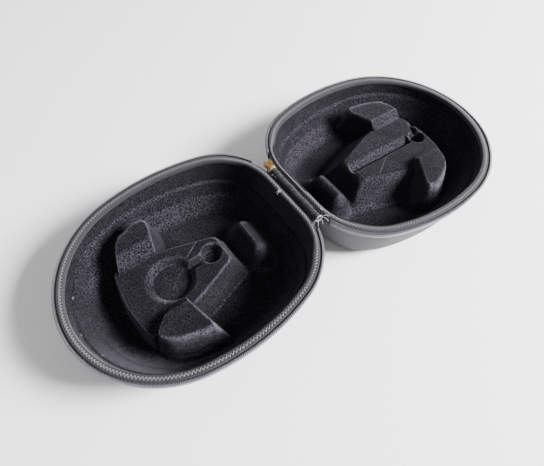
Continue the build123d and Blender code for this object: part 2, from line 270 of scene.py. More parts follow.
def grid_mesh(name, grid, material, wrap_rows=False, wrap_columns=False, surface=None):
    """Mesh of quads over a grid of points, with its open ends capped and its normals outwards.

    surface holds the lengths along the columns and down the rows, which become the map that
    the woven materials follow.
    """
    rows, columns = grid.shape[:2]
    row_faces = rows if wrap_rows else rows - 1
    column_faces = columns if wrap_columns else columns - 1
    r, c = np.meshgrid(np.arange(row_faces), np.arange(column_faces), indexing="ij")
    r, c = r.ravel(), c.ravel()
    r2, c2 = (r + 1) % rows, (c + 1) % columns
    quads = np.stack([r * columns + c, r * columns + c2, r2 * columns + c2, r2 * columns + c], 1)
    faces = quads.tolist()
    if wrap_rows and not wrap_columns:
        faces.append([row * columns for row in range(rows)])
        faces.append([row * columns + columns - 1 for row in reversed(range(rows))])
    if wrap_columns and not wrap_rows:
        faces.append(list(reversed(range(columns))))
        faces.append([(rows - 1) * columns + column for column in range(columns)])
    mesh = bpy.data.meshes.new(name)
    mesh.from_pydata(grid.reshape(-1, 3).tolist(), [], faces)
    mesh.polygons.foreach_set("use_smooth", np.ones(len(faces), bool))
    if surface is not None:
        along, down = surface
        corner_u = np.stack([along[c], along[c + 1], along[c + 1], along[c]], 1)
        corner_v = np.stack([down[r], down[r], down[r + 1], down[r + 1]], 1)
        flat = np.zeros((len(mesh.loops), 2), np.float32)
        flat[:len(quads) * 4] = np.stack([corner_u.ravel(), corner_v.ravel()], 1)
        layer = mesh.uv_layers.new(name="surface")
        layer.data.foreach_set("uv", flat.ravel())
    face_outwards(mesh)
    return link(name, mesh, material)


def face_outwards(mesh):
    work = bmesh.new()
    work.from_mesh(mesh)
    bmesh.ops.recalc_face_normals(work, faces=work.faces)
    work.to_mesh(mesh)
    work.free()


def tube_grid(path, radius, sides, closed=False):
    """Grid of rings that follow a path, turned as little as possible from one to the next."""
    path = np.asarray(path, float)
    if closed:
        ahead = np.roll(path, -1, 0) - np.roll(path, 1, 0)
    else:
        ahead = np.gradient(path, axis=0)
    ahead /= np.linalg.norm(ahead, axis=1, keepdims=True)
    side = np.cross(ahead[0], (0.0, 0.0, 1.0))
    if np.linalg.norm(side) < 0.1:
        side = np.cross(ahead[0], (0.0, 1.0, 0.0))
    sides_out = []
    for direction in ahead:
        side = side - direction * side.dot(direction)
        side /= np.linalg.norm(side)
        sides_out.append(side)
    side = np.array(sides_out)
    other = np.cross(ahead, side)
    radius = np.broadcast_to(radius, (len(path),))[:, None]
    turns = np.linspace(0, 2 * math.pi, sides, endpoint=False)
    rings = [path + radius * (side * math.cos(t) + other * math.sin(t)) for t in turns]
    return np.array(rings)


def tube(name, path, radius, sides, material, closed=False):
    grid = tube_grid(path, radius, sides, closed)
    return grid_mesh(name, grid, material, wrap_rows=True, wrap_columns=closed)


def many_tubes(name, paths, radius, sides, material):
    """One mesh of many short threads, each with closed and rounded ends."""
    verts, faces, base = [], [], 0
    for path in paths:
        path = np.asarray(path, float)
        taper = np.ones(len(path))
        taper[0] = taper[-1] = 0.45
        grid = tube_grid(path, radius * taper, sides)
        rows, columns = grid.shape[:2]
        verts.append(grid.reshape(-1, 3))
        for r in range(rows):
            r2 = (r + 1) % rows
            for c in range(columns - 1):
                a, b = base + r * columns + c, base + r2 * columns + c
                faces.append([a, a + 1, b + 1, b])
        faces.append([base + r * columns for r in range(rows)])
        faces.append([base + r * columns + columns - 1 for r in reversed(range(rows))])
        base += rows * columns
    mesh = bpy.data.meshes.new(name)
    mesh.from_pydata(np.concatenate(verts).tolist(), [], faces)
    mesh.polygons.foreach_set("use_smooth", np.ones(len(faces), bool))
    face_outwards(mesh)
    return link(name, mesh, material)


def outline_plate(name, outline, low, high, bevel, material):
    """Flat plate over a closed outline of (x, y) points, with rounded edges."""
    work = bmesh.new()
    bottom = [work.verts.new((x, y, low)) for x, y in outline]
    face = work.faces.new(bottom)
    raised = bmesh.ops.extrude_face_region(work, geom=[face])
    lifted = [v for v in raised["geom"] if isinstance(v, bmesh.types.BMVert)]
    bmesh.ops.translate(work, verts=lifted, vec=(0, 0, high - low))
    bmesh.ops.recalc_face_normals(work, faces=work.faces)
    rims = [e for e in work.edges if abs(e.verts[0].co.z - e.verts[1].co.z) < 1e-7]
    bmesh.ops.bevel(work, geom=rims, offset=bevel, segments=3, profile=0.5, affect="EDGES")
    mesh = bpy.data.meshes.new(name)
    work.to_mesh(mesh)
    work.free()
    mesh.polygons.foreach_set("use_smooth", np.ones(len(mesh.polygons), bool))
    mesh.set_sharp_from_angle(angle=math.radians(50))
    return link(name, mesh, material)


def join(name, pieces):
    """Joins pieces into the first and names it."""
    bpy.ops.object.select_all(action="DESELECT")
    for piece in pieces:
        piece.select_set(True)
    bpy.context.view_layer.objects.active = pieces[0]
    bpy.ops.object.join()
    pieces[0].name = name
    pieces[0].data.name = name
    return pieces[0]


def finish_piece(piece, body, slot, *replaced):
    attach(piece, body)
    if replaced:
        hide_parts(*replaced)
    return piece


# Shader groups

def refinish(name, finish):
    """Gives a CAD node that shows as it is a finish of its own."""
    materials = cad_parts[name].data.materials
    materials.clear()
    materials.append(finish_of(finish))


class Nodes:
    """Short ways to add and join nodes in a tree."""

    def __init__(self, tree):
        self.tree = tree

    def add(self, kind, inputs=(), **values):
        node = self.tree.nodes.new(kind)
        for name, value in values.items():
            setattr(node, name, value)
        for socket, value in dict(inputs).items():
            if isinstance(value, bpy.types.NodeSocket):
                self.tree.links.new(value, node.inputs[socket])
            else:
                node.inputs[socket].default_value = value
        return node

    def math(self, operation, first, second=0.5):
        return self.add("ShaderNodeMath", {0: first, 1: second}, operation=operation).outputs[0]

    def ramp(self, value, low, high, start=0.0, end=1.0):
        inputs = {"Value": value, "From Min": low, "From Max": high, "To Min": start, "To Max": end}
        return self.add("ShaderNodeMapRange", inputs).outputs[0]

    def mix(self, factor, first, second):
        inputs = {0: factor, 6: first, 7: second}
        return self.add("ShaderNodeMix", inputs, data_type="RGBA").outputs[2]


def new_group(name, inputs, outputs):
    """Shader node group with named sockets, given as (name, kind, default) and (name, kind)."""
    tree = bpy.data.node_groups.new(name, "ShaderNodeTree")
    for label, kind, default in inputs:
        socket = tree.interface.new_socket(label, in_out="INPUT", socket_type=kind)
        if default is not None:
            socket.default_value = default
    for label, kind in outputs:
        tree.interface.new_socket(label, in_out="OUTPUT", socket_type=kind)
    nodes = Nodes(tree)
    return tree, nodes, nodes.add("NodeGroupInput"), nodes.add("NodeGroupOutput")


def velour_nap():
    """Pile of velour: fine tufts, brushed patches and a height for the bump."""
    tree, n, given, out = new_group(
        "velour_nap",
        [("Tuft", "NodeSocketFloat", 900.0), ("Patch", "NodeSocketFloat", 45.0)],
        [(name, "NodeSocketFloat") for name in ("Tufts", "Brushed", "Height")])
    place = n.add("ShaderNodeTexCoord").outputs["Object"]
    tuft = n.add("ShaderNodeTexNoise", {"Vector": place, "Scale": given.outputs["Tuft"],
                                        "Detail": 2.5, "Roughness": 0.6}).outputs[0]
    patch = n.add("ShaderNodeTexNoise", {"Vector": place, "Scale": given.outputs["Patch"],
                                         "Detail": 3.0, "Roughness": 0.55}).outputs[0]
    fine = n.math("MULTIPLY", given.outputs["Tuft"], 2.3)
    hair = n.add("ShaderNodeTexNoise", {"Vector": place, "Scale": fine, "Detail": 1.0}).outputs[0]
    tree.links.new(n.ramp(tuft, 0.40, 0.62), out.inputs["Tufts"])
    tree.links.new(n.ramp(patch, 0.35, 0.65), out.inputs["Brushed"])
    height = n.math("ADD", n.math("MULTIPLY", tuft, 1.0), n.math("MULTIPLY", hair, 0.35))
    tree.links.new(height, out.inputs["Height"])
    return tree


def plain_weave():
    """Plain weave over a surface map: warp and weft threads, their gaps and their height."""
    tree, n, given, out = new_group(
        "plain_weave",
        [("Map", "NodeSocketVector", None), ("Pitch", "NodeSocketFloat", 0.001),
         ("Slant", "NodeSocketFloat", 0.0)],
        [(name, "NodeSocketFloat") for name in ("Thread", "Height", "Uneven")])
    turned = n.add("ShaderNodeVectorRotate", {"Vector": given.outputs["Map"],
                                              "Angle": given.outputs["Slant"]},
                   rotation_type="Z_AXIS").outputs[0]
    split = n.add("ShaderNodeSeparateXYZ", {0: turned})
    u = n.math("DIVIDE", split.outputs[0], given.outputs["Pitch"])
    v = n.math("DIVIDE", split.outputs[1], given.outputs["Pitch"])
    cell = n.math("ADD", n.math("FLOOR", u), n.math("FLOOR", v))
    odd = n.math("MODULO", n.math("ABSOLUTE", cell), 2.0)
    across_u = n.math("ABSOLUTE", n.math("SUBTRACT", n.math("FRACT", u), 0.5))
    across_v = n.math("ABSOLUTE", n.math("SUBTRACT", n.math("FRACT", v), 0.5))
    warp = n.math("SUBTRACT", 1.0, n.math("POWER", n.math("MULTIPLY", across_u, 2.0), 2.2))
    weft = n.math("SUBTRACT", 1.0, n.math("POWER", n.math("MULTIPLY", across_v, 2.0), 2.2))
    bow_u = n.math("SUBTRACT", 1.0, n.math("MULTIPLY", across_v, 0.9))
    bow_v = n.math("SUBTRACT", 1.0, n.math("MULTIPLY", across_u, 0.9))
    first = n.math("MULTIPLY", warp, bow_u)
    second = n.math("MULTIPLY", weft, bow_v)
    keep = n.math("SUBTRACT", 1.0, odd)
    height = n.math("ADD", n.math("MULTIPLY", first, keep), n.math("MULTIPLY", second, odd))
    noise = n.add("ShaderNodeTexNoise", {"Vector": given.outputs["Map"], "Scale": 160.0,
                                         "Detail": 4.0}).outputs[0]
    tree.links.new(n.ramp(height, 0.1, 0.8), out.inputs["Thread"])
    tree.links.new(height, out.inputs["Height"])
    tree.links.new(n.ramp(noise, 0.3, 0.7), out.inputs["Uneven"])
    return tree


def lit_slope_highlight():
    """How far a slope faces -Y and upwards, towards the key light; the velour paints such slopes
    paler, a painted highlight.
    """
    tree, n, given, out = new_group(
        "lit_slope_highlight", [("Strength", "NodeSocketFloat", 0.5)], [("Paler", "NodeSocketFloat")])
    split = n.add("ShaderNodeSeparateXYZ", {0: n.add("ShaderNodeTexCoord").outputs["Normal"]})
    facing = n.ramp(n.math("MULTIPLY", split.outputs[1], -1.0), 0.25, 0.60)
    upward = n.ramp(split.outputs[2], 0.42, 0.62)
    paler = n.math("MULTIPLY", n.math("MULTIPLY", facing, upward), given.outputs["Strength"])
    tree.links.new(paler, out.inputs["Paler"])
    return tree


def ribbon_ribs():
    """Ribs across a ribbon, as in binding and hinge cloth, with fine threads along them."""
    tree, n, given, out = new_group(
        "ribbon_ribs",
        [("Map", "NodeSocketVector", None), ("Pitch", "NodeSocketFloat", 0.0007)],
        [("Rib", "NodeSocketFloat"), ("Height", "NodeSocketFloat"), ("Uneven", "NodeSocketFloat")])
    split = n.add("ShaderNodeSeparateXYZ", {0: given.outputs["Map"]})
    wave = n.math("DIVIDE", split.outputs[0], given.outputs["Pitch"])
    swing = n.math("ABSOLUTE", n.math("SUBTRACT", n.math("FRACT", wave), 0.5))
    rib = n.math("SUBTRACT", 1.0, n.math("MULTIPLY", swing, 2.0))
    noise = n.add("ShaderNodeTexNoise", {"Vector": given.outputs["Map"], "Scale": 900.0,
                                         "Detail": 2.0}).outputs[0]
    patch = n.add("ShaderNodeTexNoise", {"Vector": given.outputs["Map"], "Scale": 90.0,
                                         "Detail": 2.0}).outputs[0]
    tree.links.new(n.ramp(rib, 0.05, 0.7), out.inputs["Rib"])
    tree.links.new(n.math("ADD", rib, n.math("MULTIPLY", noise, 0.5)), out.inputs["Height"])
    tree.links.new(n.ramp(patch, 0.3, 0.7), out.inputs["Uneven"])
    return tree


def edge_wear_and_highlight():
    """Convex edges and fine scratches, from the surface's convexity and noise: rubbed wear on
    brass, paler crests on the coil, a painted highlight on the velour's convex edges.
    """
    tree, n, given, out = new_group(
        "edge_wear_and_highlight",
        [("Edge", "NodeSocketFloat", 0.53), ("Scratch", "NodeSocketFloat", 1500.0)],
        [("Wear and highlight", "NodeSocketFloat"), ("Scratches", "NodeSocketFloat")])
    point = n.add("ShaderNodeNewGeometry").outputs["Pointiness"]
    place = n.add("ShaderNodeTexCoord").outputs["Object"]
    high = n.math("ADD", given.outputs["Edge"], 0.08)
    inputs = {"Value": point, "From Min": given.outputs["Edge"], "From Max": high}
    edge = n.add("ShaderNodeMapRange", inputs).outputs[0]
    noise = n.add("ShaderNodeTexNoise", {"Vector": place, "Scale": given.outputs["Scratch"],
                                         "Detail": 4.0, "Roughness": 0.7}).outputs[0]
    tree.links.new(n.math("MULTIPLY", edge, n.ramp(noise, 0.35, 0.6)), out.inputs["Wear and highlight"])
    tree.links.new(n.ramp(noise, 0.55, 0.75), out.inputs["Scratches"])
    return tree


def lint():
    """Sparse specks of lint and dust."""
    tree, n, given, out = new_group(
        "lint", [("Amount", "NodeSocketFloat", 0.06)], [("Specks", "NodeSocketFloat")])
    place = n.add("ShaderNodeTexCoord").outputs["Object"]
    cells = n.add("ShaderNodeTexVoronoi", {"Vector": place, "Scale": 420.0})
    near = n.ramp(cells.outputs["Distance"], 0.10, 0.22, 1.0, 0.0)
    pick = n.add("ShaderNodeSeparateColor", {0: cells.outputs["Color"]}).outputs[0]
    chosen = n.math("LESS_THAN", pick, given.outputs["Amount"])
    tree.links.new(n.math("MULTIPLY", near, chosen), out.inputs["Specks"])
    return tree


def group(builder):
    """The shader group that a builder makes under its own name, made once."""
    return bpy.data.node_groups.get(builder.__name__) or builder()


def new_material(name, **sockets):
    """Material with a Principled BSDF whose constant sockets are set, and its node helper."""
    material = bpy.data.materials.new(name + "_finish")
    material.use_nodes = True
    shader = material.node_tree.nodes["Principled BSDF"]
    for socket, value in sockets.items():
        shader.inputs[socket.replace("_", " ")].default_value = value
    return material, Nodes(material.node_tree), shader


def place_group(n, builder, inputs=()):
    return n.add("ShaderNodeGroup", inputs, node_tree=group(builder)).outputs


def coat(n, shader, colour, roughness, height, strength, distance):
    """Joins a colour, a roughness and a bump to the shader."""
    bump = n.add("ShaderNodeBump", {"Height": height, "Strength": strength, "Distance": distance})
    for value, socket in ((colour, "Base Color"), (roughness, "Roughness"),
                          (bump.outputs[0], "Normal")):
        n.tree.links.new(value, shader.inputs[socket])


def scaled(colour, share):
    return tuple(value * share for value in colour[:3]) + (1,)


def surface_map(n):
    return n.add("ShaderNodeUVMap", uv_map="surface").outputs[0]


# Materials

def velour_material():
    colours = bpy.context.scene.case_colours
    material, n, shader = new_material(
        "velour", Roughness=0.95, Sheen_Weight=0.13, Sheen_Roughness=0.35, Specular_IOR_Level=0.05)
    shader.inputs["Sheen Tint"].default_value = (0.75, 0.72, 0.85, 1)
    nap = place_group(n, velour_nap, {"Tuft": 850.0, "Patch": 45.0})
    specks = place_group(n, lint, {"Amount": 0.0025})
    tufts = n.math("MULTIPLY", nap["Tufts"], n.ramp(nap["Brushed"], 0.0, 1.0, 0.55, 1.0))
    # Painted highlight: convex edges of the pile, found from their pointiness, are mixed towards a
    # much paler colour.
    edge_highlight = place_group(n, edge_wear_and_highlight, {"Edge": 0.509, "Scratch": 500.0})
    # Painted highlight: slopes that face the key light, towards -Y and upwards, are painted paler.
    lit_slope = place_group(n, lit_slope_highlight, {"Strength": 0.22})
    # Colour of both painted highlights: the pale pile, 5.5 times brighter.
    highlight_colour = scaled(colours.velour_pale, 5.5)
    cloth = n.mix(tufts, colours.velour, colours.velour_pale)
    # Mixes in the painted highlights, first on slopes facing the light, then on convex edges.
    cloth = n.mix(n.math("MULTIPLY", lit_slope["Paler"], nap["Tufts"]), cloth, highlight_colour)
    cloth = n.mix(edge_highlight["Wear and highlight"], cloth, highlight_colour)
    coat(n, shader, n.mix(specks["Specks"], cloth, (0.11, 0.11, 0.12, 1)),
         n.ramp(nap["Brushed"], 0.0, 1.0, 0.84, 1.0),
         nap["Height"], 1.0, 0.0010)
    return material


def cover_material():
    colours = bpy.context.scene.case_colours
    material, n, shader = new_material(
        "cover_weave", Roughness=0.62, Specular_IOR_Level=0.4, Sheen_Weight=0.1)
    weave = place_group(n, plain_weave, {"Map": surface_map(n), "Pitch": 0.00210,
                                         "Slant": math.radians(45)})
    specks = place_group(n, lint, {"Amount": 0.004})
    cloth = n.mix(weave["Thread"], colours.cover_dark, colours.cover)
    shade = n.mix(n.math("MULTIPLY", weave["Uneven"], 0.22), cloth, colours.cover_dark)
    coat(n, shader, n.mix(specks["Specks"], shade, (0.2, 0.2, 0.21, 1)),
         n.ramp(weave["Thread"], 0.0, 1.0, 0.85, 0.5),
         weave["Height"], 1.0, 0.0008)
    return material


def ribbon_material(name, base, pitch, depth, roughness=0.7, shade=0.35):
    """Ribbed ribbon in one colour, darker between its ribs."""
    material, n, shader = new_material(
        name, Roughness=roughness, Specular_IOR_Level=0.35, Sheen_Weight=0.15)
    rib = place_group(n, ribbon_ribs, {"Map": surface_map(n), "Pitch": pitch})
    dark = tuple(value * shade for value in base[:3]) + (1,)
    cloth = n.mix(rib["Rib"], dark, base)
    worn = n.mix(n.math("MULTIPLY", rib["Uneven"], 0.3), cloth, dark)
    coat(n, shader, worn,
         n.ramp(rib["Uneven"], 0, 1, roughness - 0.1, roughness + 0.12),
         rib["Height"], 0.7, depth)
    return material


def hinge_material():
    """Ribbed cloth with a short, uneven pile."""
    base = bpy.context.scene.case_colours.spine
    material, n, shader = new_material(
        "hinge_fabric", Roughness=0.9, Specular_IOR_Level=0.15, Sheen_Weight=0.1)
    rib = place_group(n, ribbon_ribs, {"Map": surface_map(n), "Pitch": 0.0017})
    nap = place_group(n, velour_nap, {"Tuft": 1100.0, "Patch": 160.0})
    dark = scaled(base, 0.10)
    pale = scaled(base, 1.9)
    cloth = n.mix(n.math("MULTIPLY", rib["Rib"], nap["Brushed"]), dark, base)
    height = n.math("ADD", rib["Height"], nap["Height"])
    coat(n, shader, n.mix(n.math("MULTIPLY", nap["Tufts"], rib["Rib"]), cloth, pale),
         n.ramp(nap["Brushed"], 0, 1, 0.8, 1.0),
         height, 1.0, 0.0007)
    return material


def thread_material(name, base):
    """Twisted sewing thread: fine noise along it and a soft gloss."""
    material, n, shader = new_material(
        name, Roughness=0.5, Specular_IOR_Level=0.4, Sheen_Weight=0.1)
    nap = place_group(n, velour_nap, {"Tuft": 2600.0, "Patch": 300.0})
    dark = scaled(base, 0.45)
    coat(n, shader, n.mix(nap["Tufts"], dark, base),
         n.ramp(nap["Brushed"], 0, 1, 0.42, 0.66),
         nap["Height"], 0.5, 0.0002)
    return material


def coil_material():
    colours = bpy.context.scene.case_colours
    material, n, shader = new_material("zip_coil", Roughness=0.38, Specular_IOR_Level=0.5)
    wear = place_group(n, edge_wear_and_highlight, {"Edge": 0.52, "Scratch": 1200.0})
    # The coil's convex crests are mixed towards a colour four times paler.
    paler_crests = scaled(colours.coil, 4)
    coat(n, shader, n.mix(wear["Wear and highlight"], colours.coil, paler_crests),
         n.ramp(wear["Scratches"], 0, 1, 0.32, 0.6),
         wear["Scratches"], 0.3, 0.0001)
    return material


def band_material():
    colours = bpy.context.scene.case_colours
    material, n, shader = new_material("edge_band", Roughness=0.45, Specular_IOR_Level=0.5,
                                       Sheen_Weight=0.1)
    weave = place_group(n, plain_weave, {"Map": surface_map(n), "Pitch": 0.00045, "Slant": 0.0})
    dark = scaled(colours.band, 0.6)
    cloth = n.mix(weave["Thread"], dark, colours.band)
    coat(n, shader, n.mix(n.math("MULTIPLY", weave["Uneven"], 0.35), cloth, dark),
         n.ramp(weave["Uneven"], 0, 1, 0.38, 0.55),
         weave["Height"], 0.35, 0.0002)
    return material


def foam_material():
    colours = bpy.context.scene.case_colours
    material, n, shader = new_material("moulded_foam", Roughness=0.85, Specular_IOR_Level=0.3)
    nap = place_group(n, velour_nap, {"Tuft": 1500.0, "Patch": 60.0})
    pale = scaled(colours.foam, 2)
    coat(n, shader, n.mix(nap["Tufts"], colours.foam, pale),
         n.ramp(nap["Brushed"], 0, 1, 0.78, 0.95),
         nap["Height"], 0.4, 0.0002)
    return material


def brass_material():
    colours = bpy.context.scene.case_colours
    material, n, shader = new_material("slider_metal", Roughness=0.36, Metallic=1.0)
    wear = place_group(n, edge_wear_and_highlight, {"Edge": 0.51, "Scratch": 1100.0})
    nap = place_group(n, velour_nap, {"Tuft": 700.0, "Patch": 220.0})
    tarnish = scaled(colours.brass, 0.45)
    bright = (min(1, colours.brass[0] * 1.5), colours.brass[1] * 1.5, colours.brass[2] * 1.6, 1)
    metal = n.mix(n.math("MULTIPLY", nap["Brushed"], 0.5), colours.brass, tarnish)
    coat(n, shader, n.mix(wear["Wear and highlight"], metal, bright),
         n.ramp(wear["Scratches"], 0, 1, 0.28, 0.52),
         wear["Scratches"], 0.25, 0.0001)
    return material


def grip_material():
    colours = bpy.context.scene.case_colours
    material, n, shader = new_material("pull_rubber", Roughness=0.6, Specular_IOR_Level=0.45)
    nap = place_group(n, velour_nap, {"Tuft": 2200.0, "Patch": 150.0})
    specks = place_group(n, lint, {"Amount": 0.04})
    pale = scaled(colours.grip, 1.8)
    rubber = n.mix(nap["Brushed"], colours.grip, pale)
    coat(n, shader, n.mix(specks["Specks"], rubber, (0.2, 0.2, 0.2, 1)),
         n.ramp(nap["Tufts"], 0, 1, 0.5, 0.72),
         nap["Height"], 0.35, 0.00015)
    return material


def finish_of(name):
    """The material of that name, made when it is first asked for."""
    colours = bpy.context.scene.case_colours
    makers = {
        "velour": velour_material,
        "cover_weave": cover_material,
        "binding_tape": lambda: ribbon_material("binding_tape", colours.binding, 0.00075, 0.0003),
        "zip_tape": lambda: ribbon_material("zip_tape", colours.tape, 0.0006, 0.0002),
        "hinge_fabric": hinge_material,
        "binding_thread": lambda: thread_material("binding_thread", colours.thread),
        "tack_thread": lambda: thread_material("tack_thread", colours.tack),
        "zip_coil": coil_material,
        "edge_band": band_material,
        "moulded_foam": foam_material,
        "slider_metal": brass_material,
        "pull_rubber": grip_material,
    }
    return bpy.data.materials.get(name + "_finish") or makers[name]()


# Forms of the cover and the lining

def underside_height(bowl, lift, x):
    """Height of the plane parallel to the underside, raised by lift, at x in the base frame."""
    return -(bowl.depth - lift) - x * math.tan(bowl.tilt)


def wall_corner(bowl, rim, walks, start, lean, lift):
    """Where a leaning wall that starts at given (inset, height) pairs meets the floor plane."""
    points, inward = rim.at(walks, start[:, 0])
    drop_to = underside_height(bowl, lift, points[:, 0])
    run = (start[:, 1] - drop_to) / (1 / math.tan(lean) - inward[:, 0] * math.tan(bowl.tilt))
    return np.stack([start[:, 0] + run, start[:, 1] - run / math.tan(lean)], 1)


def floor_edge(bowl, rim, walks, corner, run):
    """Where the floor has run inwards from each corner, parallel to the underside."""
    inward = rim.at(walks)[1]
    return corner + np.stack([np.full(len(walks), run),
                              -inward[:, 0] * math.tan(bowl.tilt) * run], 1)


def carried(rim, walks, rows):
    """Points for rows of (inset, height) pairs that differ from column to column."""
    return np.array([np.column_stack([rim.points(walks, row[:, 0]), row[:, 1]]) for row in rows])


def closed_in(bowl, wall, middle, lift, shares):
    """A wall's rows, and rows that close its last ring in on the middle of the floor."""
    centre = np.array([middle, 0.0, underside_height(bowl, lift, middle)])
    rings = [centre + (wall[-1] - centre) * share for share in shares]
    return np.concatenate([wall, np.array(rings)])


def cover_rows(rim, bowl, walks, outset, top, lift):
    """Rows of the cover, from the rim down the wall and in to the middle of the underside."""
    start = np.tile([-outset, top], (len(walks), 1))
    bend = np.tile([-outset, -bowl.shoulder], (len(walks), 1))
    corner = wall_corner(bowl, rim, walks, bend, bowl.wall_taper, lift)
    inner = floor_edge(bowl, rim, walks, corner, 0.030)
    rows = rounded_path([start, bend, corner, inner], [0.020, bowl.bottom_round - lift],
                        [4, 14, 2], 8)
    wall = carried(rim, walks, rows)
    middle_x = (wall[-1, :, 0].min() + wall[-1, :, 0].max()) / 2
    return closed_in(bowl, wall, middle_x, lift, np.linspace(0.93, 0.02, 16))


def smooth_min(a, b, reach):
    """The lower of two heights, blended where they are within reach of each other."""
    share = np.clip(0.5 + 0.5 * (b - a) / reach, 0, 1)
    return b * (1 - share) + a * share - reach * share * (1 - share)


def smooth_max(a, b, reach):
    return -smooth_min(-a, -b, reach)


def inside_polygon(x, y, corners, rounding):
    """Distance inside a convex polygon with rounded corners; negative outside."""
    corners = np.asarray(corners, float)
    distance = None
    for here, there in zip(corners, np.roll(corners, -1, 0)):
        edge = there - here
        normal = np.array([-edge[1], edge[0]]) / np.linalg.norm(edge)
        side = (x - here[0]) * normal[0] + (y - here[1]) * normal[1]
        distance = side if distance is None else smooth_min(distance, side, rounding)
    return distance


def inside_bar(x, y, start, end, radius):
    """Distance inside a round-ended bar between two points."""
    run = np.array([end[0] - start[0], end[1] - start[1]])
    share = ((x - start[0]) * run[0] + (y - start[1]) * run[1]) / max(run.dot(run), 1e-12)
    share = np.clip(share, 0, 1)
    return radius - np.hypot(x - start[0] - share * run[0], y - start[1] - share * run[1])


def inside_disc(x, y, centre, radius):
    return inside_bar(x, y, centre, centre, radius)


def block(inside, top, lean, edge):
    """Height of a block with leaning walls and a rounded top edge."""
    return smooth_min(top + 0 * inside, top + inside / lean, edge)


# Outline of each wing's top, counter-clockwise, as distances from the hinge line and the middle.
# The last two values are where its inner side begins to fall and how steeply it falls.
WINGS = {
    ("base", "near"): (((0.1215, 0.018), (0.1115, 0.0612), (0.1265, 0.0565), (0.1400, 0.0518),
                        (0.1495, 0.0445), (0.1520, 0.0370), (0.1290, 0.018)), 0.0275, 1.5),
    ("base", "far"): (((0.1235, 0.024), (0.1163, 0.0355), (0.1117, 0.0480), (0.1117, 0.0585),
                       (0.1195, 0.0628), (0.1335, 0.0597), (0.1425, 0.0540), (0.1480, 0.0420),
                       (0.1530, 0.024)), 0.0410, 0.71),
    ("lid", "near"): (((0.1290, 0.022), (0.1080, 0.0560), (0.1150, 0.0610), (0.1280, 0.0580),
                       (0.1455, 0.0450), (0.1510, 0.0320), (0.1480, 0.022)), 0.0285, 1.1),
    ("lid", "far"): (((0.1275, 0.022), (0.1130, 0.0600), (0.1290, 0.0600), (0.1480, 0.0545),
                      (0.1560, 0.0440), (0.1575, 0.022)), 0.0335, 1.4),
}
# Outer edge of each cradle and the radius of that edge
OUTER = {"base": (0.1622, 0.090), "lid": (0.1665, 0.062)}
# Sideways run per depth of the wedge's flanks
FLANK_LEAN = {"base": 0.32, "lid": 0.62}
# Blend along the wedge's top edges beside its tip
FLANK_EDGE = {"base": 0.0042, "lid": 0.0060}


def wedge_top(x, y, cradle, half):
    across = np.abs(y)
    outer, radius = OUTER[half]
    inside = inside_polygon(x, across, [
        (-cradle.apex, -0.02), (-cradle.apex, cradle.apex_half), (-cradle.root, cradle.root_half),
        (-outer + 0.004, cradle.root_half + 0.005), (-outer, -0.02)], 0.004)
    arc = inside_disc(x, y, (-outer + radius, 0), radius)
    inside = smooth_min(inside, np.where(x < -0.12, arc, 1.0), 0.004)
    at_root = np.clip((-x - cradle.root) / 0.02, 0, 1)
    lean = FLANK_LEAN[half] * (1 - at_root) + cradle.side_lean * at_root
    edge = FLANK_EDGE[half] * (1 - at_root) + 0.0040 * at_root
    return block(inside, -cradle.wedge_depth, lean, edge)


def wing_top(x, y, cradle, half):
    tops = {}
    for side in ("near", "far"):
        corners, fall_from, steepness = WINGS[half, side]
        corners = [(-distance, across) for distance, across in corners]
        inside = inside_polygon(x, np.abs(y), corners, 0.0050)
        steep = block(inside, -cradle.wing_depth, cradle.side_lean, 0.0050)
        fall = -cradle.wing_depth + (np.abs(y) - fall_from) * steepness
        tops[side] = smooth_min(steep, fall, 0.0016)
    return np.where(y < 0, tops["near"], tops["far"])


def cradle_height(x, y, floor, cradle, half):
    """Height of the lining's floor with the cradle and the rib, in the base frame."""
    rib_shape = inside_bar(x, y, (-cradle.rib_at, -cradle.rib_half),
                           (-cradle.rib_at, cradle.rib_half), 0.0035)
    rib = block(rib_shape, -cradle.rib_depth, 0.52, 0.0090)
    height = smooth_max(floor, rib, 0.0090)
    height = smooth_max(height, wedge_top(x, y, cradle, half), 0.0060)
    height = smooth_max(height, wing_top(x, y, cradle, half), 0.0028)
    return carved(height, x, y, cradle, half)


def carved(height, x, y, cradle, half):
    """The cradle's height with the recesses of its half."""
    low = -cradle.wedge_depth - cradle.recess_depth
    if half == "base":
        cuts = [(inside_disc(x, y, (-0.1208, 0.0005), 0.0152), low, 0.66),
                (inside_disc(x, y, (-0.0828, 0.0012), 0.0060), low - 0.0005, 0.40),
                (inside_bar(x, y, (-0.106, 0.0012), (-0.086, 0.0016), 0.0020), low + 0.001, 0.42)]
    else:
        bevel = np.where(y > -0.0012, 3.6, 1.0)
        slot = inside_bar(x, -0.0012 + (y + 0.0012) / bevel, (-0.144, -0.0014), (-0.0735, -0.0012),
                          0.0006)
        cuts = [(slot, low, 0.27),
                (inside_disc(x, y, (-0.1545, -0.0014), 0.0052), low - 0.004, 0.25),
                (inside_bar(x, y, (-0.1575, 0.0040), (-0.1620, 0.0140), 0.0010), low + 0.002, 0.4)]
    for inside, bottom, lean in cuts:
        pit = bottom + np.maximum(-inside, 0) / lean
        pit = smooth_max(pit, bottom + 0 * pit, 0.0015)
        height = smooth_min(height, pit, 0.0026)
    return height


def binding_edge(rim, sizes, walks, half):
    """Inset of the binding's inner edge, which comes closer along the hinge side."""
    walked = np.minimum(np.mod(walks, rim.length), rim.length - np.mod(walks, rim.length))
    near_hinge = np.clip((0.066 - walked) / 0.020, 0, 1)
    near_hinge = near_hinge ** 2 * (3 - 2 * near_hinge)
    if half == "base":
        narrow = sizes.hinge_base
    else:
        signed = np.where(np.mod(walks, rim.length) > rim.length / 2, -walked, walked)
        past_joint = np.clip((-0.006 - signed) / 0.004, 0, 1)
        narrow = sizes.hinge_lid + (sizes.hinge_base - sizes.hinge_lid) * past_joint
    return sizes.binding_inner + (narrow - sizes.binding_inner) * near_hinge


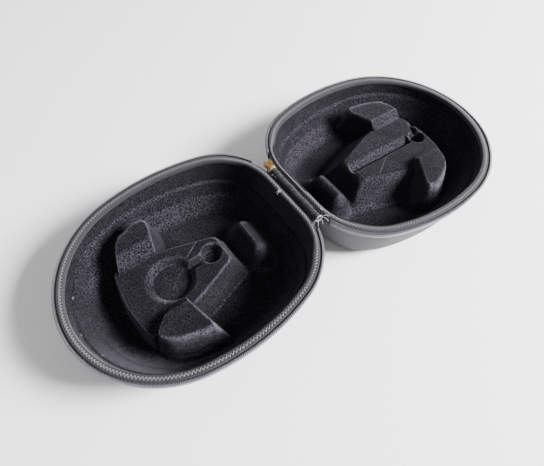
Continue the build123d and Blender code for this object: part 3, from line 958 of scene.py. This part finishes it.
def lining_rows(rim, sizes, bowl, cradle, walks, half):
    """Rows of the velour's face, from under the binding to the middle of the floor."""
    full = sizes.binding_inner - 0.0008
    begin = binding_edge(rim, sizes, walks, half) - 0.0008
    start = np.stack([begin, np.full(len(walks), -0.0011)], 1)
    shoulder = np.stack([np.maximum(full, begin + 0.0002), np.full(len(walks), -0.0021)], 1)
    edge = rim.points(walks, full)
    crease_height = underside_height(bowl, bowl.depth - bowl.crease, edge[:, 0])
    band_end = np.stack([full - crease_height * math.tan(bowl.band_taper), crease_height], 1)
    step = band_end + [bowl.crease_step, -0.0011]
    corner = wall_corner(bowl, rim, walks, step, bowl.lining_taper, bowl.floor_gap)
    inner = floor_edge(bowl, rim, walks, corner, 0.016)
    rows = rounded_path([start, shoulder, band_end, step, corner, inner],
                        [0.0003, 0.0022, 0.0030, bowl.floor_round], [1, 16, 1, 10, 1], 6)
    wall = carried(rim, walks, rows)
    grid = closed_in(bowl, wall, -0.118, bowl.floor_gap, np.linspace(1, 0.004, cradle.rows)[1:])
    return relax_cradle(grid, len(wall) - 16, cradle, half)


def relax_cradle(grid, first_row, cradle, half):
    """Raises the cradle out of the floor, and draws mesh rows towards its steep walls."""
    floor = grid[..., 2].copy()
    tilt = math.tan(bpy.context.scene.case_bowl.tilt)
    rounds = 14
    for _ in range(rounds):
        grid[first_row:, :, 2] = raised(grid, floor, cradle, half)[first_row:]
        mean = (np.roll(grid, 1, 1) + np.roll(grid, -1, 1)) / 2
        mean[1:-1] = mean[1:-1] / 2 + (grid[2:] + grid[:-2]) / 4
        moved = (mean - grid)[first_row + 4:-2, :, :2] * 0.5
        grid[first_row + 4:-2, :, :2] += moved
        floor[first_row + 4:-2] -= moved[..., 0] * tilt
    grid[..., 2] = raised(grid, floor, cradle, half)
    return grid


def raised(grid, floor, cradle, half):
    x, y = grid[..., 0], grid[..., 1]
    height = cradle_height(x, y, floor, cradle, half)
    within = np.clip((floor.max(0)[None, :] - floor) / 0.004, 0, 1)
    return np.where(floor < -0.020, height, floor) * within + floor * (1 - within)


# Operators

class CASE_OT_covers(bpy.types.Operator):
    """Woven skins over the outside of both shells"""
    bl_idname = "headphone_case.covers"
    bl_label = "Covers"

    def execute(self, context):
        sizes, bowl = context.scene.case_rim, context.scene.case_bowl
        rim = Rim(sizes)
        walks = np.linspace(0, rim.length, int(rim.length / (2 * sizes.step)), endpoint=False)
        for half in HALVES:
            outer = cover_rows(rim, bowl, walks, 0.00035, -0.0018, 0.0)
            inner = cover_rows(rim, bowl, walks, -0.0005, -0.0018, 0.0008)
            grid = np.concatenate([outer[::-1], inner])
            down = np.append([0], np.cumsum(np.linalg.norm(np.diff(grid[:, 0], axis=0), axis=1)))
            along = np.append(walks, rim.length)
            piece = grid_mesh(half + "_cover_skin", seated(half, grid), finish_of("cover_weave"),
                              wrap_columns=True, surface=(along, down))
            finish_piece(piece, half, "cover_weave", half + "_cover")
        return {"FINISHED"}


class CASE_OT_linings(bpy.types.Operator):
    """Velour linings, each moulded in one with its cradle and rib"""
    bl_idname = "headphone_case.linings"
    bl_label = "Linings"

    def execute(self, context):
        scene = context.scene
        sizes, bowl, cradle = scene.case_rim, scene.case_bowl, scene.case_cradle
        rim = Rim(sizes)
        columns = cradle.columns
        walks = np.linspace(0, rim.length, columns, endpoint=False)
        for half in HALVES:
            face = lining_rows(rim, sizes, bowl, cradle, walks, half)
            back = lining_back(rim, bowl, walks)
            grid = np.concatenate([face[::-1], back])
            piece = grid_mesh(half + "_lining", seated(half, grid), finish_of("velour"),
                              wrap_columns=True)
            finish_piece(piece, half, "velour", half + "_liner", half + "_cradle")
        return {"FINISHED"}


def lining_back(rim, bowl, walks):
    """The lining's plain back, a little inside the shell."""
    start = np.tile([0.0050, -0.0020], (len(walks), 1))
    bend = np.tile([0.0052, -bowl.shoulder], (len(walks), 1))
    corner = wall_corner(bowl, rim, walks, bend, bowl.wall_taper, bowl.floor_gap - 0.0030)
    inner = floor_edge(bowl, rim, walks, corner, 0.030)
    rows = rounded_path([start, bend, corner, inner], [0.010, 0.016], [2, 5, 1], 5)
    wall = carried(rim, walks, rows)
    return closed_in(bowl, wall, -0.112, bowl.floor_gap - 0.0030, np.linspace(0.9, 0.03, 6))


class CASE_OT_bindings(bpy.types.Operator):
    """Ribbed bindings over the rims, with their zigzag stitches"""
    bl_idname = "headphone_case.bindings"
    bl_label = "Bindings"

    def execute(self, context):
        sizes = context.scene.case_rim
        rim = Rim(sizes)
        walks = rim_walks(rim, sizes.step / 2)[:-1]
        for half in HALVES:
            self.ribbon(half, rim, sizes, walks)
            self.stitches(half, rim, sizes)
        return {"FINISHED"}

    def ribbon(self, half, rim, sizes, walks):
        outer = sizes.binding_outer
        inner = binding_edge(rim, sizes, walks, half)
        # share of the width, further inset, height and depth of the stitches' dips
        section = (
            (0, 0.0002, -0.003, 0), (0, 0, -0.0016, 0), (0, 0.0003, -0.0008, 0),
            (0.1, 0.0002, -0.0004, 0.1), (0.22, 0, -0.0003, 0.5), (0.3, 0, -0.0003, 1),
            (0.38, 0, -0.0003, 0.5), (0.55, 0, -0.0002, 0.1), (0.7, 0, -0.0003, 0.5),
            (0.78, 0, -0.0003, 1), (0.86, 0, -0.0003, 0.5), (0.96, 0, -0.0006, 0.1),
            (1, 0, -0.0011, 0), (1, 0.0003, -0.002, 0), (1, 0.0004, -0.0034, 0),
            (1, 0.0001, -0.0043, 0), (1, -0.0006, -0.0042, 0), (1, -0.001, -0.0028, 0),
            (0.25, 0, -0.003, 0))
        count = round(rim.length / sizes.stitch_pitch)
        turn = 2 * math.pi * walks / rim.length * count
        slow = 0.00012 * np.sin(walks * 61.0) + 0.00008 * np.sin(walks * 173.0 + 1.0)
        rows = []
        for share, further, height, dip in section:
            phase = 0 if share < 0.5 else math.pi
            sunk = dip * 0.00050 * np.maximum(np.cos(turn + phase), 0) ** 2
            inset = outer + share * (inner - outer) + further + slow * share
            rows.append(rim_line(half, rim, walks, inset, height - sunk - RIBBON_DROP))
        down = np.cumsum(np.full(len(rows) + 1, 0.0006))
        piece = grid_mesh(half + "_binding_ribbon", np.array(rows), finish_of("binding_tape"),
                          wrap_rows=True, wrap_columns=True,
                          surface=(np.append(walks, rim.length), down))
        finish_piece(piece, half, "binding_tape", half + "_binding")

    def stitches(self, half, rim, sizes):
        """Zigzag thread that sinks into the ribbon at each end of a stitch."""
        count = round(rim.length / sizes.stitch_pitch)
        pitch = rim.length / count
        share = np.linspace(0, 1, 5)
        paths = []
        for index in range(2 * count):
            walk = pitch * (index + share) / 2
            inner = binding_edge(rim, sizes, walk, half)
            swing = 0.30 + 0.48 * share if index % 2 == 0 else 0.78 - 0.48 * share
            inset = sizes.binding_outer + swing * (inner - sizes.binding_outer)
            lift = -0.00090 + 0.00055 * np.sin(math.pi * share) ** 0.6
            paths.append(rim_line(half, rim, walk, inset, lift))
        piece = many_tubes(half + "_binding_stitches", paths, sizes.thread, 5,
                           finish_of("binding_thread"))
        finish_piece(piece, half, "binding_tape")


class CASE_OT_zips(bpy.types.Operator):
    """Zip tapes, edge bands and toothed coils round both rims"""
    bl_idname = "headphone_case.zips"
    bl_label = "Zips"

    def execute(self, context):
        sizes = context.scene.case_rim
        rim = Rim(sizes)
        for half in HALVES:
            self.tape(half, rim, sizes)
            self.band(half, rim, sizes)
            self.coil(half, rim, sizes)
        return {"FINISHED"}

    def strip(self, name, half, rim, sizes, profile, material):
        walks = rim_walks(rim, sizes.step, sizes.zip_first, sizes.zip_last)
        grid = np.array([rim_line(half, rim, walks, inset, np.full(len(walks), height))
                         for inset, height in profile])
        down = np.append([0], np.cumsum(np.full(len(profile), 0.001)))
        return grid_mesh(name, grid, finish_of(material), wrap_rows=True, surface=(walks, down))

    def tape(self, half, rim, sizes):
        profile = [(-0.00035, -0.0092), (-0.00035, -0.0040), (-0.00035, -0.0008),
                   (-0.00060, -0.0006), (-0.00095, -0.0008), (-0.00095, -0.0040),
                   (-0.00095, -0.0092), (-0.00060, -0.0094)]
        piece = self.strip(half + "_tape", half, rim, sizes, profile, "zip_tape")
        finish_piece(piece, half, "zip_tape", half + "_zip_tape")

    def band(self, half, rim, sizes):
        profile = [(-0.00090, -0.0073), (-0.00090, -0.0030), (-0.00125, -0.00285),
                   (-0.00150, -0.0032), (-0.00165, -0.0040), (-0.00172, -0.0052),
                   (-0.00165, -0.0064), (-0.00150, -0.0072), (-0.00120, -0.0075)]
        piece = self.strip(half + "_band", half, rim, sizes, profile, "edge_band")
        finish_piece(piece, half, "edge_band", half + "_edge_band")
        self.band_seam(half, rim, sizes)

    def band_seam(self, half, rim, sizes):
        pitch = 0.0026
        span = rim.length - sizes.zip_first - sizes.zip_last
        paths = []
        for index in range(int(span / pitch)):
            walk = sizes.zip_first + pitch * (index + np.linspace(0.12, 0.82, 4))
            inset = -0.00166 - 0.00012 * np.sin(np.linspace(0, math.pi, 4))
            paths.append(rim_line(half, rim, walk, inset, np.full(4, -0.0066)))
        piece = many_tubes(half + "_band_stitches", paths, 0.00016, 5, finish_of("binding_thread"))
        finish_piece(piece, half, "edge_band")

    def coil(self, half, rim, sizes):
        span = rim.length - sizes.zip_first - sizes.zip_last
        turns = int(span / sizes.coil_pitch)
        per_turn = 12
        phase = 0.0 if half == "base" else 0.5
        share = np.linspace(0, turns, turns * per_turn + 1)
        spin = 2 * math.pi * (share + phase)
        walk = sizes.zip_first + span * share / turns
        inset = -0.00150 + 0.00085 * np.sin(spin)
        tooth = np.maximum(np.cos(spin), 0) ** 3
        height = -0.00150 + 0.00090 * np.cos(spin) + 0.00025 * tooth
        path = rim_line(half, rim, walk, inset, height)
        piece = tube(half + "_coil", path, 0.00034, 6, finish_of("zip_coil"))
        finish_piece(piece, half, "zip_coil", half + "_zip_coil")


class CASE_OT_hinge(bpy.types.Operator):
    """Ribbed spine roll, its wound tacks and the sewn flaps"""
    bl_idname = "headphone_case.hinge"
    bl_label = "Hinge"
    tails = {"near": 5, "far": 2}
    reaches = {"near": 0.0054, "far": 0.0016}
    # walk, inset and length of the cut ends of each half's knot
    knots = {"base": (0.0060, 0.0038, 0.0034), "lid": (-0.029, 0.0022, 0.002)}

    def execute(self, context):
        self.spine()
        self.tacks()
        for half in HALVES:
            self.flap(half)
            self.knot(half)
        return {"FINISHED"}

    def knot(self, half):
        """Knot of light thread on the hinge side's binding, with its cut ends."""
        rim = Rim(bpy.context.scene.case_rim)
        thread = finish_of("tack_thread")
        centre_walk, inset, reach = self.knots[half]
        turn = np.linspace(0, 2 * math.pi, 40, endpoint=False)
        pieces = []
        for loop in range(3):
            walk = centre_walk + 0.0010 * np.cos(turn + loop) + 0.0003 * loop
            height = -0.0009 + 0.0002 * (1 + np.sin(2 * turn + loop)) + 0.0001 * loop
            path = rim_line(half, rim, walk, inset + 0.0008 * np.sin(turn + loop), height)
            pieces.append(tube("knot_loop", path, 0.00028, 6, thread, closed=True))
        for side in (-1, 1):
            run = np.linspace(0, 1, 12)
            height = -0.0005 + 0.0002 * np.sin(run * 3) - 0.0012 * run ** 2
            walk = centre_walk + side * 0.0012 * run
            path = rim_line(half, rim, walk, inset + reach * run, height)
            pieces.append(tube("knot_tail", path, 0.00020, 5, thread))
        finish_piece(join(half + "_knot", pieces), half, "tack_thread")

    def spine(self):
        around = np.linspace(0, 2 * math.pi, 48, endpoint=False)
        along = np.linspace(SPINE_LOW.y, SPINE_HIGH.y, 420)
        crest = 0.00024 * np.sin(2 * math.pi * along / 0.0017)
        lump = 0.00024 * np.sin(along * 310 + 1.3) + 0.00018 * np.sin(along * 711)
        twist = 0.00014 * np.sin(along[None, :] * 1700 + 5 * around[:, None])
        groove = -0.00065 * np.exp(-((np.degrees(around) % 180 - 90) / 9.0) ** 2)
        radius = SPINE_RADIUS - 0.0002 + crest + lump * np.cos(around)[:, None] + twist
        radius = radius + groove[:, None]
        ends = np.clip(np.minimum(along - SPINE_LOW.y, SPINE_HIGH.y - along) / 0.0012, 0, 1)
        radius = radius * (0.8 + 0.2 * np.sqrt(ends))
        x = SPINE_SHIFT + radius * np.sin(around)[:, None]
        z = HINGE_Z + radius * np.cos(around)[:, None]
        grid = np.stack([x, np.broadcast_to(along, x.shape), z], -1)
        down = np.cumsum(np.full(len(around) + 1, 0.0004))
        piece = grid_mesh("spine_roll", grid, finish_of("hinge_fabric"), wrap_rows=True,
                          surface=(along, down))
        finish_piece(piece, "spine", "hinge_fabric", "hinge_spine")

    def tacks(self):
        for end in ("near", "far"):
            low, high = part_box("spine_tack_" + end)
            turns = 5
            share = np.linspace(0, 1, turns * 20)
            spin = share * turns * 2 * math.pi
            radius = (high.z - low.z) / 2 - 0.00034
            y = low.y + 0.0003 + (high.y - low.y - 0.0006) * share
            path = np.column_stack([SPINE_SHIFT + radius * np.sin(spin), y,
                                    HINGE_Z + radius * np.cos(spin)])
            threads = [tube("tack_winding", path, 0.00030, 6, finish_of("tack_thread"))]
            outer = -1 if end == "near" else 1
            start = low.y if end == "near" else high.y
            for index in range(self.tails[end]):
                lean = (index - (self.tails[end] - 1) / 2) * 0.62
                run = np.linspace(0, 1, 10)
                reach = self.reaches[end] + 0.0008 * math.sin(index * 2.4)
                tail = np.column_stack([
                    SPINE_SHIFT + 0.0030 * lean + reach * math.sin(lean) * run,
                    start + outer * reach * math.cos(lean) * run,
                    HINGE_Z + 0.0018 - 0.0030 * run ** 2 + 0.0004 * np.sin(run * 9 + index)])
                threads.append(tube("tack_tail", tail, 0.00022, 5, finish_of("tack_thread")))
            piece = join("tack_" + end, threads)
            finish_piece(piece, "spine", "tack_thread", "spine_tack_" + end)

    def flap(self, half):
        low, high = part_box(half + "_hinge_flap")
        along = np.linspace(low.y, high.y, 90)
        outer = -0.0043 + 0.00012 * np.sin(along * 420)
        profile = [(0.0, -0.0098), (-0.0004, -0.0100), (-0.0006, -0.0070), (-0.0006, -0.0046),
                   (-0.0016, -0.0043), (-0.0028, -0.0042), (-0.0028, -0.0037), (-0.0012, -0.0036),
                   (-0.0002, -0.0031), (0.0, -0.0036), (0.0, -0.0070)]
        grid = np.array([
            np.column_stack([outer - 0.0006 - inset, along, np.full(len(along), height)])
            for inset, height in profile])
        down = np.append([0], np.cumsum(np.full(len(profile), 0.001)))
        piece = grid_mesh(half + "_flap", seated(half, grid), finish_of("hinge_fabric"),
                          wrap_rows=True, surface=(along, down))
        finish_piece(piece, half, "hinge_fabric", half + "_hinge_flap")


class CASE_OT_slider(bpy.types.Operator):
    """Brass slider with its bail and pull tab, and the soft grip"""
    bl_idname = "headphone_case.slider"
    bl_label = "Slider"

    def execute(self, context):
        self.body()
        refinish("pull_tab", "slider_metal")
        self.grip()
        return {"FINISHED"}

    def body(self):
        brass = finish_of("slider_metal")
        start = SLIDER_LOW.y
        reach = SLIDER_HIGH.y - SLIDER_LOW.y
        mouth = (SLIDER_HIGH.x - SLIDER_LOW.x) / 2
        tail = mouth * 0.70
        half_outline = [
            (0.0, start), (tail * 0.8, start), (tail, start + 0.0008), (tail, start + reach * 0.30),
            (mouth * 0.93, start + reach * 0.55), (mouth, start + reach * 0.70),
            (mouth, start + reach * 0.90), (mouth * 0.88, start + reach * 0.98),
            (mouth * 0.60, start + reach), (mouth * 0.34, start + reach * 0.95),
            (mouth * 0.14, start + reach * 0.82), (mouth * 0.08, start + reach * 0.26),
            (0.0, start + reach * 0.24)]
        mirrored = [(-x, y) for x, y in reversed(half_outline[1:-1])]
        outline = half_outline + mirrored
        plates = []
        for name, low, high in (("inner", 0.0009, 0.0021), ("outer", -0.0021, -0.0009)):
            plates.append(outline_plate("slider_" + name, outline, HINGE_Z + low, HINGE_Z + high,
                                        0.00035, brass))
        plates.append(self.ridge(start, reach, mouth))
        post = [(0.0009 * math.cos(t), start + reach * 0.72 + 0.0017 * math.sin(t))
                for t in np.linspace(0, 2 * math.pi, 20, endpoint=False)]
        plates.append(outline_plate("slider_post", post, HINGE_Z - 0.001, HINGE_Z + 0.001, 0.0001,
                                    brass))
        for side in (-1, 1):
            wall = [(side * tail, start + 0.0004), (side * tail, start + reach * 0.3),
                    (side * (tail - 0.0007), start + reach * 0.3),
                    (side * (tail - 0.0007), start + 0.0004)]
            plates.append(outline_plate("slider_wall", wall, HINGE_Z - 0.001, HINGE_Z + 0.001,
                                        0.0001, brass))
        plates.append(self.bail(start, reach))
        piece = join("slider", plates)
        finish_piece(piece, "slider", "slider_metal", "slider_body")

    def ridge(self, start, reach, mouth):
        """Raised lip that follows the inner plate's two lobes."""
        share = np.linspace(0, 1, 28)
        x = mouth * (0.22 + 0.52 * share ** 1.6)
        y = start + reach * (0.16 + 0.74 * share)
        rail = []
        for side in (-1, 1):
            path = np.column_stack([side * x, y, np.full(len(x), HINGE_Z + 0.0021)])
            rail.append(tube("slider_rail", path, 0.00034, 8, finish_of("slider_metal")))
        return join("slider_rails", rail)

    def bail(self, start, reach):
        middle = start + reach / 2
        bottom = SLIDER_LOW.z + 0.0006
        top = HINGE_Z - 0.0015
        turn = np.linspace(0, math.pi, 24)
        y = middle - 0.0030 * np.sign(np.cos(turn)) * np.abs(np.cos(turn)) ** 0.55
        z = top + (bottom - top) * np.abs(np.sin(turn)) ** 0.55
        path = np.column_stack([np.zeros(24), y, z])
        return tube("slider_bail", path, 0.0006, 10, finish_of("slider_metal"))

    def grip(self):
        middle_y = (GRIP_LOW.y + GRIP_HIGH.y) / 2
        half_x = (GRIP_HIGH.x - GRIP_LOW.x) / 2
        half_y = (GRIP_HIGH.y - GRIP_LOW.y) / 2
        drop = np.linspace(0, 1, 120)
        z = GRIP_HIGH.z + (GRIP_LOW.z - GRIP_HIGH.z) * drop
        ends = np.sqrt(np.clip(1 - (2 * np.abs(drop - 0.5)) ** 6, 0.0004, 1))
        ribs = np.where(np.abs(drop - 0.55) < 0.3, 0.00022 * np.sin(drop * 78), 0)
        around = np.linspace(0, 2 * math.pi, 36, endpoint=False)
        soft = 0.55
        x = np.sign(np.cos(around)) * np.abs(np.cos(around)) ** soft
        y = np.sign(np.sin(around)) * np.abs(np.sin(around)) ** soft
        waist = 1 - 0.10 * np.sin(math.pi * drop) ** 2
        grid = np.stack([
            np.outer(x, half_x * ends * waist),
            middle_y + np.outer(y, (half_y - 0.00025) * ends + ribs),
            np.broadcast_to(z, (len(around), len(z)))], -1)
        piece = grid_mesh("grip", grid, finish_of("pull_rubber"), wrap_rows=True)
        finish_piece(piece, "pull", "pull_rubber", "pull_grip")


class CASE_OT_shells(bpy.types.Operator):
    """Foam finish for the shells, which show only between cover and lining"""
    bl_idname = "headphone_case.shells"
    bl_label = "Shells"

    def execute(self, context):
        for half in HALVES:
            refinish(half + "_shell", "moulded_foam")
        return {"FINISHED"}


class CASE_OT_stage(bpy.types.Operator):
    """Pale floor, soft lights and the camera"""
    bl_idname = "headphone_case.stage"
    bl_label = "Stage"

    def execute(self, context):
        self.floor(context)
        self.lights(context)
        self.camera(context)
        return {"FINISHED"}

    def floor(self, context):
        colours = context.scene.case_colours
        material, n, shader = new_material("floor", Roughness=0.9, Specular_IOR_Level=0.1)
        noise = n.add("ShaderNodeTexNoise", {"Scale": 8.0, "Detail": 3.0}).outputs[0]
        pale = tuple(min(1.0, value * 1.03) for value in colours.floor[:3]) + (1,)
        n.tree.links.new(n.mix(noise, colours.floor, pale), shader.inputs["Base Color"])
        work = bmesh.new()
        bmesh.ops.create_grid(work, x_segments=2, y_segments=2, size=60.0)
        mesh = bpy.data.meshes.new("floor")
        work.to_mesh(mesh)
        work.free()
        floor = link("floor", mesh, material)

    def lights(self, context):
        world = bpy.data.worlds.new("studio")
        world.use_nodes = True
        background = world.node_tree.nodes["Background"]
        background.inputs["Color"].default_value = (1, 1, 1, 1)
        background.inputs["Strength"].default_value = 0.42
        context.scene.world = world
        for name, place, size, power in (
                ("key", (1.32, -1.25, 1.30), 0.75, 270.0),
                ("fill", (-0.9, 0.3, 1.6), 1.6, 6.0)):
            lamp = bpy.data.lights.new(name, "AREA")
            lamp.size = size
            lamp.energy = power
            light = bpy.data.objects.new(name, lamp)
            light.location = place
            light.rotation_euler = (Vector((0, 0, 0.03)) - light.location).to_track_quat(
                "-Z", "Y").to_euler()
            context.scene.collection.objects.link(light)

    def camera(self, context):
        lens = bpy.data.cameras.new("camera")
        lens.lens = 31.1
        lens.sensor_width = 36.0
        camera = bpy.data.objects.new("camera", lens)
        camera.location = (-0.1562, -0.1869, HINGE_Z + 0.3058)
        target = Vector((-0.0389, -0.0247, HINGE_Z))
        camera.rotation_euler = (target - camera.location).to_track_quat("-Z", "Y").to_euler()
        lens.clip_start = 0.01
        context.scene.collection.objects.link(camera)
        context.scene.camera = camera


OPERATORS = (CASE_OT_stage, CASE_OT_shells, CASE_OT_covers, CASE_OT_linings, CASE_OT_bindings,
             CASE_OT_zips, CASE_OT_hinge, CASE_OT_slider)
GROUPS = {"case_rim": RimSizes, "case_bowl": BowlSizes, "case_cradle": CradleSizes,
          "case_colours": CaseColours}


class CASE_PT_panel(bpy.types.Panel):
    """Sizes, colours and pieces of the headphone case"""
    bl_label = "Headphone case"
    bl_idname = "CASE_PT_panel"
    bl_space_type = "VIEW_3D"
    bl_region_type = "UI"
    bl_category = "Headphone case"

    def draw(self, context):
        for operator in OPERATORS:
            self.layout.operator(operator.bl_idname)
        for name, properties in GROUPS.items():
            box = self.layout.box()
            box.label(text=properties.__name__)
            for key in properties.__annotations__:
                box.prop(getattr(context.scene, name), key)


def register():
    for name, properties in GROUPS.items():
        bpy.utils.register_class(properties)
        setattr(bpy.types.Scene, name, PointerProperty(type=properties))
    for operator in OPERATORS:
        bpy.utils.register_class(operator)
    bpy.utils.register_class(CASE_PT_panel)


def unregister():
    bpy.utils.unregister_class(CASE_PT_panel)
    for operator in reversed(OPERATORS):
        bpy.utils.unregister_class(operator)
    for name, properties in GROUPS.items():
        delattr(bpy.types.Scene, name)
        bpy.utils.unregister_class(properties)


def main():
    register()
    for operator in OPERATORS:
        family, action = operator.bl_idname.split(".")
        getattr(getattr(bpy.ops, family), action)()


if __name__ == "__main__":
    main()
